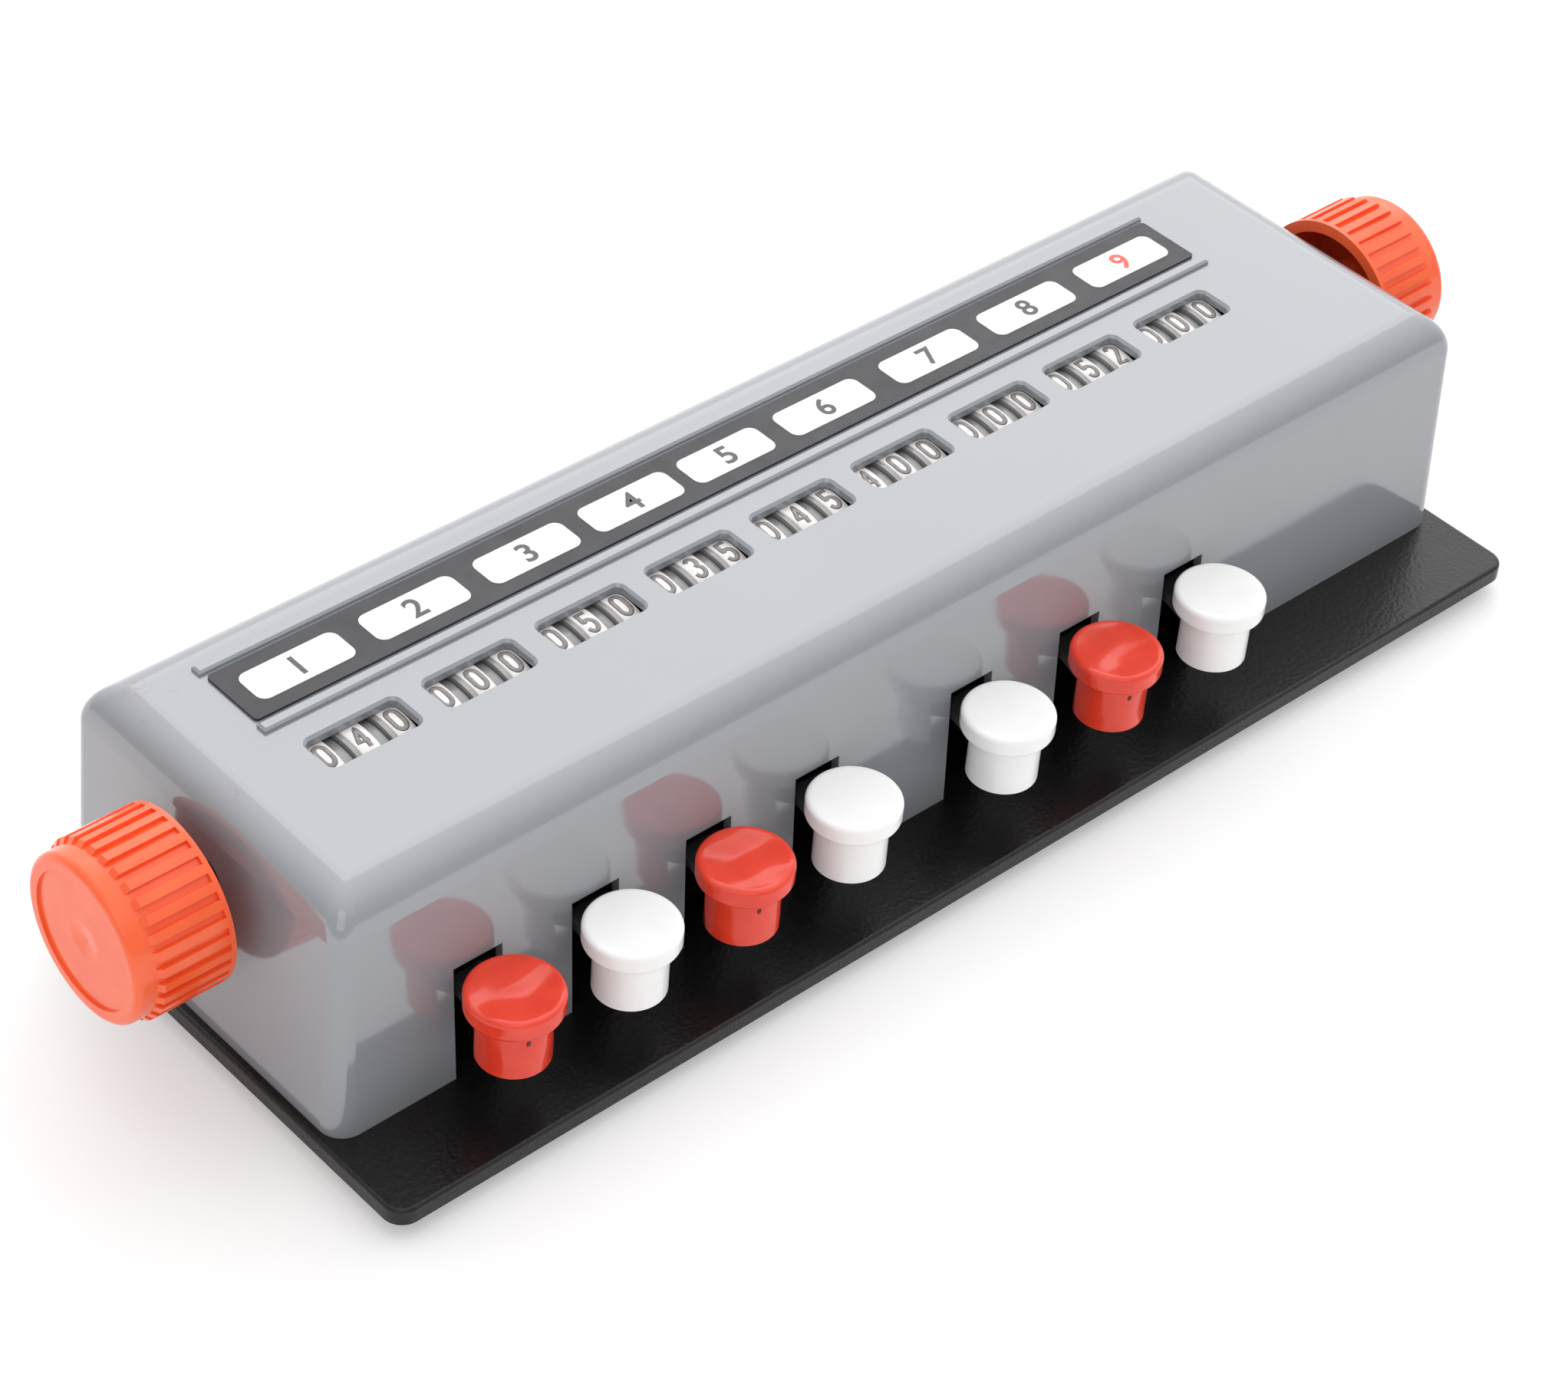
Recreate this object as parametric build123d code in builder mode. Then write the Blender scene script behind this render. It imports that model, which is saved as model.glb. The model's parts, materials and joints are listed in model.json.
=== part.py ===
from build123d import *
import os
from math import cos, radians, sin, tan

# Nine-window mechanical cell counter with seven keys, in millimetres.
# X runs along the counter, Y from the operator to the back, Z up.
# The origin is on the table, under the centre of the base plate.

os.makedirs("parts", exist_ok=True)

# General clearances
gap = 0.3
running = 0.05
seated = 0.01

# Rubber feet
foot_height = 3.5
foot_radius = 6.0
foot_flare = 0.8
foot_edge = 0.5
foot_inset_x = 18.0
foot_inset_y = 11.0

# Base plate
base_length = 270.0
base_depth = 94.2
base_thickness = 3.3
base_corner = 3.8
base_edge = 0.7
base_bottom = foot_height
base_top = base_bottom + base_thickness
front_edge = -base_depth / 2

# Screws, all alike
screw_radius = 1.5
screw_length = 7.0
screw_slack = 0.2
head_radius = 2.7
head_height = 1.8
head_edge = 0.5

# Cover
end_rim = 1.7
back_rim = 1.8
apron = 18.0
cover_length = base_length - 2 * end_rim
cover_depth = base_depth - apron - back_rim
cover_height = 47.6
cover_wall = 1.8
cover_corner = 4.6
cover_draft = 2.8
cover_round = 7.5
cover_front = front_edge + apron
cover_y = cover_front + cover_depth / 2
cover_back = cover_front + cover_depth
cover_top = base_top + cover_height
draft_slope = tan(radians(cover_draft))
boss_radius = 3.5
boss_inset = 4.5
boss_height = 12.0
boss_bore_depth = 8.0

# Key caps
key_inset = 9.8
key_rise = 24.0
key_y = front_edge + key_inset
cap_top = base_top + key_rise
cap_radius = 8.4
cap_height = 4.0
cap_edge = 0.9
cap_under = cap_top - cap_height
dish_rim = 7.2
dish_depth = 0.5
dish_radius = (dish_rim**2 + dish_depth**2) / (2 * dish_depth)
skirt_radius = 6.4
skirt_wall = 1.3
skirt_length = 10.0
skirt_bore = skirt_radius - skirt_wall
peg_radius = 2.0
peg_boss = 3.4
peg_length = 3.0
notch_start = 1.8
notch_rise = 1.9

# Key levers, from the pad under the cap down to the arm on the rod
lever_width = 9.0
lever_thick = 1.6
pad_drop = 2.4
pad_top = cap_under - pad_drop
wall_rise = 1.9
arm_drop = 3.2
arm_top = pad_top - arm_drop
arm_width = 5.0
eye_radius = 3.2
tail_length = 4.2
crank_setback = 3.4
crank_length = 5.2
crank_start = cover_front + crank_setback
crank_end = crank_start + crank_length

# Rod through the levers
rod_radius = 1.5
rod_edge = 0.4
rod_inset = 9.3
rod_rise = 9.7
rod_y = cover_back - rod_inset
rod_z = base_top + rod_rise

# Slots for the levers
slot_side = 0.5
slot_headroom = 4.5
slot_width = lever_width + 2 * slot_side
slot_height = pad_top + wall_rise + slot_headroom - base_top

# Bank of counters, with the wheels a little to the left of their windows
counter_count = 9
left_bank = 4
bank_margin = 25.975
bank_x = -6.3
counter_pitch = (cover_length - 2 * bank_margin) / counter_count
counter_x = [bank_x + (i - (counter_count - 1) / 2) * counter_pitch for i in range(counter_count)]
group_shift = -0.8
wheels_x = [x + group_shift for x in counter_x]

# Number wheels, three to a counter
wheel_names = ["hundreds", "tens", "units"]
wheel_room = 3.1
wheel_forward = 1.2
wheel_radius = (cover_top - cover_wall - gap - arm_top - wheel_room) / 2
wheel_y = cover_y - wheel_forward
wheel_z = cover_top - cover_wall - gap - wheel_radius
group_gap = 5.55
group_width = counter_pitch - group_gap
spacer_width = 3.45
drum_width = (group_width - 2 * spacer_width) / 3
wheel_pitch = drum_width + spacer_width
bank_half = group_width / 2
hub_step = 0.9
shaft_radius = 3.0
bore_radius = shaft_radius + running

# Windows over the wheels
window_bridge = 5.45
window_width = counter_pitch - window_bridge
window_depth = 7.8
window_corner = 1.4
window_lip = 0.5
window_forward = 1.9
window_y = wheel_y - window_forward

# Label strip and the two rails beside it
strip_margin = 23.8
strip_length = cover_length - 2 * strip_margin
strip_thick = 0.5
strip_corner = 0.8
strip_shift = 1.9
strip_front = 5.05
strip_rear = 1.42
rail_width = 2.3
rail_height = 0.9
rail_edge = 0.4
rail_gap = 0.9
rail_overhang = 0.6
top_back = cover_back - draft_slope * cover_height - cover_round
window_back = window_y + window_depth / 2
rail_room = rail_width + rail_gap
strip_width = top_back - strip_rear - window_back - strip_front - 2 * rail_room
strip_x = bank_x + strip_shift
strip_y = window_back + strip_front + rail_room + strip_width / 2

# Ratchet on the right of each units wheel
ratchet_teeth = 10
ratchet_tip = 5.2
ratchet_root = 4.2
ratchet_width = 1.5
ratchet_neck = 0.4
ratchet_shift = bank_half + ratchet_neck + ratchet_width / 2
ratchet_end = ratchet_shift + ratchet_width / 2
tooth_angle = radians(360 / ratchet_teeth)
tooth_heel = (ratchet_root * cos(tooth_angle), ratchet_root * sin(tooth_angle))

# Collars between the counters
collar_radius = 5.0
collar_left = ratchet_end + gap
collar_width = counter_pitch - bank_half - ratchet_end - 2 * gap

# Pawl at the side of each lever
pawl_width = 1.4
pawl_depth = 3.2
pawl_rise = 1.0
pawl_front = wheel_y - ratchet_tip - gap - pawl_depth

# Places of the keys, four on the left and three on the right, and the counter of each
left_key_shift = -2.4
left_key_spread = 0.65
right_key_shift = -11.65
right_key_spread = 2.95
left_key_pitch = counter_pitch + left_key_spread
right_key_pitch = counter_pitch + right_key_spread
left_keys = [counter_x[0] + left_key_shift + i * left_key_pitch for i in range(4)]
right_keys = [counter_x[5] + right_key_shift + i * right_key_pitch for i in range(3)]
key_x = left_keys + right_keys
key_counter = [n for n in range(counter_count - 1) if n != left_bank]
lever_x = [wheels_x[n] + ratchet_shift + pawl_width / 2 - arm_width / 2 for n in key_counter]

# Key stop with its felt, behind the crank of the levers
stop_width = 4.0
stop_height = 3.6
stop_pin = 1.2
stop_land = 0.4
felt_thick = 1.2
stop_y = crank_end + stop_land + stop_width / 2
stop_z = arm_top + gap + felt_thick + stop_height / 2

# Sideways bend of the levers, between the stop and the pawl
bend_setback = 2.0
bend_land = 1.7
bend_start = stop_y + stop_width / 2 + bend_setback
bend_end = pawl_front - bend_land

# Total bail, under every lever and clear of it at full travel
bail_drop = 5.0
bail_height = 3.0
bail_width = 3.0
bail_setback = 2.5
bail_side = 1.0
bail_top = arm_top - lever_thick - bail_drop
bail_y = bend_start + bail_setback
bail_left = key_x[0] - lever_width / 2 - bail_side
total_x = wheels_x[-1] + ratchet_shift

# Reset knobs
knob_crest = 16.0
knob_length = 18.1
knob_wall = 1.6
knob_face_wall = 3.4
knob_round = 1.3
knob_band = 3.7
knob_taper = 0.3
rib_count = 32
rib_height = 0.7
rib_ramp = 0.9
rib_arc = 6.0
lip_width = 0.9
face_disc = 12.3
face_depth = 0.5
dimple_radius = 3.6
dimple_depth = 0.4
knob_boss = 5.2
boss_setback = 1.5
knob_socket = 10.0
shaft_slack = 1.0
knob_body = knob_crest - rib_height
knob_bore = knob_body - knob_wall

# The left knob stands further from the cover than the right one
left_knob_gap = 5.6
right_knob_gap = 2.7
wall_lean = draft_slope * (wheel_z - base_top)
left_knob_rim = cover_length / 2 - wall_lean + left_knob_gap
right_knob_rim = cover_length / 2 - wall_lean + right_knob_gap
left_shaft_end = left_knob_rim + knob_socket
right_shaft_end = right_knob_rim + knob_socket

# Frame plates that carry the shafts, the rod and the stop
plate_thick = 2.0
plate_inset = 12.3
plate_setback = 9.0
plate_overlap = 5.0
plate_head = 7.5
plate_eye = 5.0
plate_flange = 9.0
plate_x = cover_length / 2 - plate_inset
plate_front = cover_front + plate_setback
plate_back = rod_y + plate_overlap
front_screw_inset = 8.1
back_screw_inset = 15.0
plate_screw_front = plate_front + front_screw_inset
plate_screw_back = plate_back - back_screw_inset
centre_x = (wheels_x[left_bank - 1] + ratchet_end + wheels_x[left_bank] - bank_half) / 2
centre_lead = 5.6
centre_screw_inset = 7.5
centre_front = bail_y + bail_width / 2 + centre_lead
centre_screw_front = centre_front + centre_screw_inset
spigot_radius = 1.5
spigot_length = 5.0

# Return spring combs behind the rod
leaf_thick = 0.5
leaf_width = 2.8
leaf_gap = 0.5
leaf_back = 1.4
leaf_lap = 0.6
leaf_foot = 9.0
leaf_rise = 1.6
comb_margin = 3.0
leaf_x = lever_x + [total_x]
leaf_y = rod_y + tail_length + leaf_back
leaf_tip_y = rod_y + tail_length - leaf_lap
tail_top = rod_z + lever_thick / 2

# Planes and axes shared by the pieces
axle = Plane(origin=(0, wheel_y, wheel_z), x_dir=(0, 1, 0), z_dir=(1, 0, 0))
axle_line = Axis((0, wheel_y, wheel_z), (1, 0, 0))
axle_side = Plane(origin=(0, wheel_y, wheel_z), x_dir=(1, 0, 0), z_dir=(0, -1, 0))
rod = Plane(origin=(0, rod_y, rod_z), x_dir=(0, 1, 0), z_dir=(1, 0, 0))

# Places of the feet and the screws
foot_places = GridLocations(base_length - 2 * foot_inset_x, base_depth - 2 * foot_inset_y, 2, 2)
boss_x = cover_length / 2 - boss_inset
boss_points = [
    (x, y) for x in (-boss_x, boss_x) for y in (cover_front + boss_inset, cover_back - boss_inset)
]
end_screw_x = plate_x + plate_thick / 2 - plate_flange / 2
centre_screw_x = centre_x - plate_thick / 2 + plate_flange / 2
plate_points = [(x, y) for x in (-end_screw_x, end_screw_x) for y in (plate_screw_front, plate_screw_back)]
plate_points += [(centre_screw_x, y) for y in (centre_screw_front, plate_screw_back)]


# base_plate
with BuildPart() as base_plate:
    with BuildSketch(Plane.XY.offset(base_bottom)):
        RectangleRounded(base_length, base_depth, base_corner)
        with Locations(boss_points + plate_points):
            Circle(screw_radius + screw_slack, mode=Mode.SUBTRACT)
    extrude(amount=base_thickness)
    rim = base_plate.faces().sort_by(Axis.Z)[-1].outer_wire().edges()
    fillet(rim, base_edge)
base_plate.part.label = "base_plate"
export_step(base_plate.part, "parts/base_plate.step")

# rubber_feet
with BuildPart() as rubber_feet:
    with foot_places:
        Cone(
            foot_radius - foot_flare,
            foot_radius,
            foot_height,
            align=(Align.CENTER, Align.CENTER, Align.MIN),
        )
    soles = rubber_feet.faces().filter_by(Axis.Z).group_by(Axis.Z)[0].edges()
    fillet(soles, foot_edge)
rubber_feet.part.label = "rubber_feet"
export_step(rubber_feet.part, "parts/rubber_feet.step")

# base_screws
with BuildPart() as base_screws:
    with BuildSketch(Plane.XY.offset(base_bottom - head_height)):
        with Locations(boss_points + plate_points):
            Circle(head_radius)
    extrude(amount=head_height)
    chamfer(base_screws.faces().group_by(Axis.Z)[0].edges(), head_edge)
    with BuildSketch(Plane.XY.offset(base_bottom)):
        with Locations(boss_points + plate_points):
            Circle(screw_radius)
    extrude(amount=screw_length)
base_screws.part.label = "base_screws"
export_step(base_screws.part, "parts/base_screws.step")

# cover
with BuildPart() as cover:
    with BuildSketch(Plane.XY.offset(base_top)):
        with Locations((0, cover_y)):
            RectangleRounded(cover_length, cover_depth, cover_corner)
    extrude(amount=cover_height, taper=cover_draft)
    fillet(cover.faces().sort_by(Axis.Z)[-1].edges(), cover_round)
    offset(amount=-cover_wall, openings=cover.faces().sort_by(Axis.Z)[0])
    # Screw bosses in the four corners
    with BuildSketch(Plane.XY.offset(base_top)):
        with Locations(boss_points):
            Circle(boss_radius)
    extrude(amount=boss_height)
    with BuildSketch(Plane.XY.offset(base_top)):
        with Locations(boss_points):
            Circle(screw_radius + running)
    extrude(amount=boss_bore_depth, mode=Mode.SUBTRACT)
    # Windows over the number wheels
    with BuildSketch(Plane.XY.offset(cover_top)):
        with Locations([(x, window_y) for x in counter_x]):
            RectangleRounded(window_width, window_depth, window_corner)
    extrude(amount=-cover_wall, mode=Mode.SUBTRACT)
    lips = cover.faces().sort_by(Axis.Z)[-1].inner_wires()
    chamfer([edge for wire in lips for edge in wire.edges()], window_lip)
    # Slots for the key levers, open at the bottom
    with BuildSketch(Plane.XY.offset(base_top)):
        with Locations([(x, cover_front + cover_wall / 2) for x in key_x]):
            Rectangle(slot_width, 2 * cover_wall + 2 * draft_slope * slot_height)
    extrude(amount=slot_height, mode=Mode.SUBTRACT)
    # Holes for the reset shafts in the end walls
    with BuildSketch(axle):
        Circle(shaft_radius + shaft_slack)
    extrude(amount=cover_length / 2, both=True, mode=Mode.SUBTRACT)
    # Rails along the label strip
    with BuildSketch(Plane.XY.offset(cover_top)):
        with Locations((strip_x, strip_y)):
            with GridLocations(0, strip_width + 2 * rail_gap + rail_width, 1, 2):
                Rectangle(strip_length + 2 * rail_overhang, rail_width)
    extrude(amount=rail_height)
    chamfer(cover.faces().group_by(Axis.Z)[-1].edges(), rail_edge)
cover.part.label = "cover"
export_step(cover.part, "parts/cover.step")

# label_strip
with BuildPart() as label_strip:
    with BuildSketch(Plane.XY.offset(cover_top)):
        with Locations((strip_x, strip_y)):
            RectangleRounded(strip_length, strip_width, strip_corner)
    extrude(amount=strip_thick)
label_strip.part.label = "label_strip"
export_step(label_strip.part, "parts/label_strip.step")

# left_end_plate and right_end_plate, bent from sheet with the flange inwards
for name, side in (("left_end_plate", -1), ("right_end_plate", 1)):
    with BuildPart() as end_plate:
        with BuildSketch(rod.offset(side * plate_x - plate_thick / 2)) as web:
            with Locations((wheel_y - rod_y, wheel_z - rod_z)):
                Circle(plate_head)
            with Locations((plate_front - rod_y, base_top - rod_z)):
                Rectangle(plate_back - plate_front, plate_thick, align=(Align.MIN, Align.MIN))
            Circle(plate_eye)
            with Locations((stop_y - rod_y, stop_z - rod_z)):
                Circle(stop_height)
            make_hull()
        extrude(amount=plate_thick)
        with BuildSketch(Plane.XY.offset(base_top)):
            with Locations((side * (plate_x + plate_thick / 2 - plate_flange / 2), (plate_front + plate_back) / 2)):
                Rectangle(plate_flange, plate_back - plate_front)
            with Locations(plate_points):
                Circle(screw_radius + running, mode=Mode.SUBTRACT)
        extrude(amount=plate_thick)
        with BuildSketch(axle):
            Circle(bore_radius)
        extrude(amount=cover_length / 2, both=True, mode=Mode.SUBTRACT)
        with BuildSketch(rod):
            Circle(rod_radius + seated)
            with Locations((stop_y - rod_y, stop_z - rod_z)):
                Circle(stop_pin + seated)
        extrude(amount=cover_length / 2, both=True, mode=Mode.SUBTRACT)
    end_plate.part.label = name
    export_step(end_plate.part, f"parts/{name}.step")

# centre_plate, between the two banks of wheels
with BuildPart() as centre_plate:
    with BuildSketch(rod.offset(centre_x - plate_thick / 2)):
        with Locations((wheel_y - rod_y, wheel_z - rod_z)):
            Circle(plate_head)
        with Locations((centre_front - rod_y, base_top - rod_z)):
            Rectangle(plate_back - centre_front, plate_thick, align=(Align.MIN, Align.MIN))
        Circle(plate_eye)
        make_hull()
    extrude(amount=plate_thick)
    with BuildSketch(Plane.XY.offset(base_top)):
        with Locations((centre_screw_x, (centre_front + plate_back) / 2)):
            Rectangle(plate_flange, plate_back - centre_front)
        with Locations(plate_points):
            Circle(screw_radius + running, mode=Mode.SUBTRACT)
    extrude(amount=plate_thick)
    with BuildSketch(axle):
        Circle(bore_radius)
    extrude(amount=cover_length / 2, both=True, mode=Mode.SUBTRACT)
    with BuildSketch(rod):
        Circle(rod_radius + seated)
    extrude(amount=cover_length / 2, both=True, mode=Mode.SUBTRACT)
centre_plate.part.label = "centre_plate"
export_step(centre_plate.part, "parts/centre_plate.step")

# key_rod, the common hinge of the levers and the bail
with BuildPart() as key_rod:
    with BuildSketch(rod):
        Circle(rod_radius)
    extrude(amount=plate_x + plate_thick, both=True)
    chamfer(key_rod.faces().filter_by(Axis.X).edges(), rod_edge)
key_rod.part.label = "key_rod"
export_step(key_rod.part, "parts/key_rod.step")

# key_stop_bar
with BuildPart() as key_stop_bar:
    with BuildSketch(rod):
        with Locations((stop_y - rod_y, stop_z - rod_z)):
            Rectangle(stop_width, stop_height)
    extrude(amount=plate_x - plate_thick / 2, both=True)
    with BuildSketch(rod):
        with Locations((stop_y - rod_y, stop_z - rod_z)):
            Circle(stop_pin)
    extrude(amount=plate_x + plate_thick, both=True)
key_stop_bar.part.label = "key_stop_bar"
export_step(key_stop_bar.part, "parts/key_stop_bar.step")

# stop_felt, under the stop bar
with BuildPart() as stop_felt:
    with BuildSketch(Plane.XY.offset(arm_top + gap)):
        with Locations((0, stop_y)):
            Rectangle(2 * (plate_x - plate_thick), stop_width)
    extrude(amount=felt_thick)
stop_felt.part.label = "stop_felt"
export_step(stop_felt.part, "parts/stop_felt.step")

# total_bail, hinged on the key rod, with the pawl of the last counter
with BuildPart() as total_bail:
    with BuildSketch(Plane.XY.offset(bail_top - bail_height)):
        with Locations(((bail_left + total_x) / 2, bail_y)):
            Rectangle(total_x - bail_left + bail_width, bail_width)
        with Locations((bail_left, (bail_y + rod_y) / 2), (total_x, (bail_y + rod_y) / 2)):
            Rectangle(bail_width, rod_y - bail_y)
    extrude(amount=bail_height)
    for x in (bail_left, total_x):
        with BuildSketch(rod.offset(x - bail_width / 2)):
            Circle(eye_radius)
            with Locations((0, (bail_top - rod_z) / 2)):
                Rectangle(2 * eye_radius, rod_z - bail_top)
        extrude(amount=bail_width)
    with BuildSketch(rod.offset(total_x - bail_width / 2)):
        with Locations((tail_length / 2, 0)):
            Rectangle(tail_length, lever_thick)
    extrude(amount=bail_width)
    with BuildSketch(rod):
        Circle(rod_radius + running)
    extrude(amount=cover_length / 2, both=True, mode=Mode.SUBTRACT)
    with BuildSketch(Plane.XY.offset(bail_top)):
        with Locations((total_x, pawl_front + pawl_depth / 2)):
            Rectangle(pawl_width, pawl_depth)
    extrude(amount=wheel_z + pawl_rise - bail_top)
    tip = total_bail.faces().sort_by(Axis.Z)[-1].edges().sort_by(Axis.Y)[0]
    chamfer(tip, pawl_depth / 2)
total_bail.part.label = "total_bail"
export_step(total_bail.part, "parts/total_bail.step")

# return_springs, two combs whose leaves press on the lever tails
with BuildPart() as return_springs:
    for first, last in ((0, left_bank - 1), (left_bank, len(key_x))):
        start = leaf_x[first] - comb_margin
        width = leaf_x[last] + comb_margin - start
        with BuildSketch(Plane.YZ.offset(start)):
            with Locations((leaf_y - leaf_foot / 2, base_top + leaf_thick / 2)):
                Rectangle(leaf_foot, leaf_thick)
        extrude(amount=width)
    for x in leaf_x:
        with BuildSketch(Plane.YZ.offset(x - leaf_width / 2)):
            with BuildLine():
                Polyline(
                    (leaf_y - leaf_thick / 2, base_top),
                    (leaf_y - leaf_thick / 2, tail_top + leaf_rise),
                    (leaf_tip_y, tail_top + leaf_gap + leaf_thick / 2),
                )
            trace(line_width=leaf_thick)
        extrude(amount=leaf_width)
return_springs.part.label = "return_springs"
export_step(return_springs.part, "parts/return_springs.step")

# left_reset_shaft, with the spigot that runs in the right one
with BuildPart() as left_reset_shaft:
    with BuildSketch(axle.offset(-left_shaft_end)):
        Circle(shaft_radius)
    extrude(amount=left_shaft_end + centre_x - plate_thick / 2 - gap)
    with BuildSketch(axle.offset(-left_shaft_end)):
        Circle(spigot_radius)
    extrude(amount=left_shaft_end + centre_x - plate_thick / 2 + spigot_length)
left_reset_shaft.part.label = "left_reset_shaft"
export_step(left_reset_shaft.part, "parts/left_reset_shaft.step")

# right_reset_shaft
with BuildPart() as right_reset_shaft:
    with BuildSketch(axle.offset(centre_x - plate_thick / 2)):
        Circle(shaft_radius)
    extrude(amount=right_shaft_end - centre_x + plate_thick / 2)
    with BuildSketch(axle.offset(centre_x - plate_thick / 2)):
        Circle(spigot_radius + running)
    extrude(amount=spigot_length + gap, mode=Mode.SUBTRACT)
right_reset_shaft.part.label = "right_reset_shaft"
export_step(right_reset_shaft.part, "parts/right_reset_shaft.step")

# left_shaft_collars and right_shaft_collars, which keep the counters apart
for name, counters in (
    ("left_shaft_collars", range(-1, left_bank - 1)),
    ("right_shaft_collars", range(left_bank, counter_count)),
):
    with BuildPart() as collars:
        for i in counters:
            with BuildSketch(axle.offset(wheels_x[0] + i * counter_pitch + collar_left)):
                Circle(collar_radius)
                Circle(shaft_radius + seated, mode=Mode.SUBTRACT)
            extrude(amount=collar_width)
    collars.part.label = name
    export_step(collars.part, f"parts/{name}.step")

# left_knob and right_knob, ribbed, and hollow towards the cover
for name, side, rim in (("left_knob", -1, left_knob_rim), ("right_knob", 1, right_knob_rim)):
    face = rim + knob_length
    lip = rim + lip_width
    disc = face - face_depth
    rib_end = face - knob_band
    with BuildPart() as knob:
        with BuildSketch(axle_side):
            with BuildLine():
                Polyline(
                    (side * rim, 0),
                    (side * rim, knob_crest),
                    (side * lip, knob_crest),
                    (side * lip, knob_body),
                    (side * face, knob_body - knob_taper),
                    (side * face, face_disc),
                    (side * disc, face_disc),
                    (side * disc, dimple_radius),
                    (side * (disc - dimple_depth), 0),
                    close=True,
                )
            make_face()
        revolve(axis=axle_line)
        rounded = knob.edges().filter_by(GeomType.CIRCLE).group_by(Axis.X)[-1 if side > 0 else 0]
        fillet(rounded.sort_by(SortBy.RADIUS)[-1], knob_round)
        # Ribs round the side, ramped down to the band beside the face
        for k in range(rib_count):
            with BuildSketch(axle_side.rotated((k * 360 / rib_count, 0, 0))):
                with BuildLine():
                    Polyline(
                        (side * rim, knob_bore),
                        (side * rim, knob_crest),
                        (side * (rib_end - rib_ramp), knob_crest),
                        (side * rib_end, knob_body - knob_taper),
                        (side * rib_end, knob_bore),
                        close=True,
                    )
                make_face()
        revolve(axis=axle_line, revolution_arc=rib_arc)
        # Hollow with its centre boss
        with BuildSketch(axle.offset(side * rim)):
            Circle(knob_bore)
        extrude(amount=side * (knob_length - knob_face_wall), mode=Mode.SUBTRACT)
        with BuildSketch(axle.offset(side * (rim + boss_setback))):
            Circle(knob_boss)
        extrude(amount=side * (knob_length - knob_face_wall - boss_setback + seated))
        with BuildSketch(axle.offset(side * rim)):
            Circle(shaft_radius + seated)
        extrude(amount=side * knob_socket, mode=Mode.SUBTRACT)
    knob.part.label = name
    export_step(knob.part, f"parts/{name}.step")

# key_cap_1 to key_cap_7
for i, x in enumerate(key_x):
    with BuildPart() as key_cap:
        with BuildSketch(Plane.XY.offset(cap_under)):
            with Locations((x, key_y)):
                Circle(cap_radius)
        extrude(amount=cap_height)
        fillet(key_cap.edges().filter_by(GeomType.CIRCLE), cap_edge)
        with BuildSketch(Plane.XY.offset(cap_under - skirt_length)):
            with Locations((x, key_y)):
                Circle(skirt_radius)
                Circle(skirt_bore, mode=Mode.SUBTRACT)
        extrude(amount=skirt_length + cap_edge)
        # Notch at the back for the lever
        with BuildSketch(Plane.XY.offset(cap_under - skirt_length)):
            with Locations((x, key_y + notch_start)):
                Rectangle(lever_width + 2 * gap, skirt_radius, align=(Align.CENTER, Align.MIN))
        extrude(amount=skirt_length - pad_drop + notch_rise, mode=Mode.SUBTRACT)
        # Boss that seats on the lever and the peg through it
        with BuildSketch(Plane.XY.offset(pad_top)):
            with Locations((x, key_y)):
                Circle(peg_boss)
        extrude(amount=pad_drop + cap_edge)
        with BuildSketch(Plane.XY.offset(pad_top - peg_length)):
            with Locations((x, key_y)):
                Circle(peg_radius)
        extrude(amount=peg_length)
        # Finger dish in the top
        with Locations((x, key_y, cap_top - dish_depth + dish_radius)):
            Sphere(dish_radius, mode=Mode.SUBTRACT)
    key_cap.part.label = f"key_cap_{i + 1}"
    export_step(key_cap.part, f"parts/key_cap_{i + 1}.step")

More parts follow.
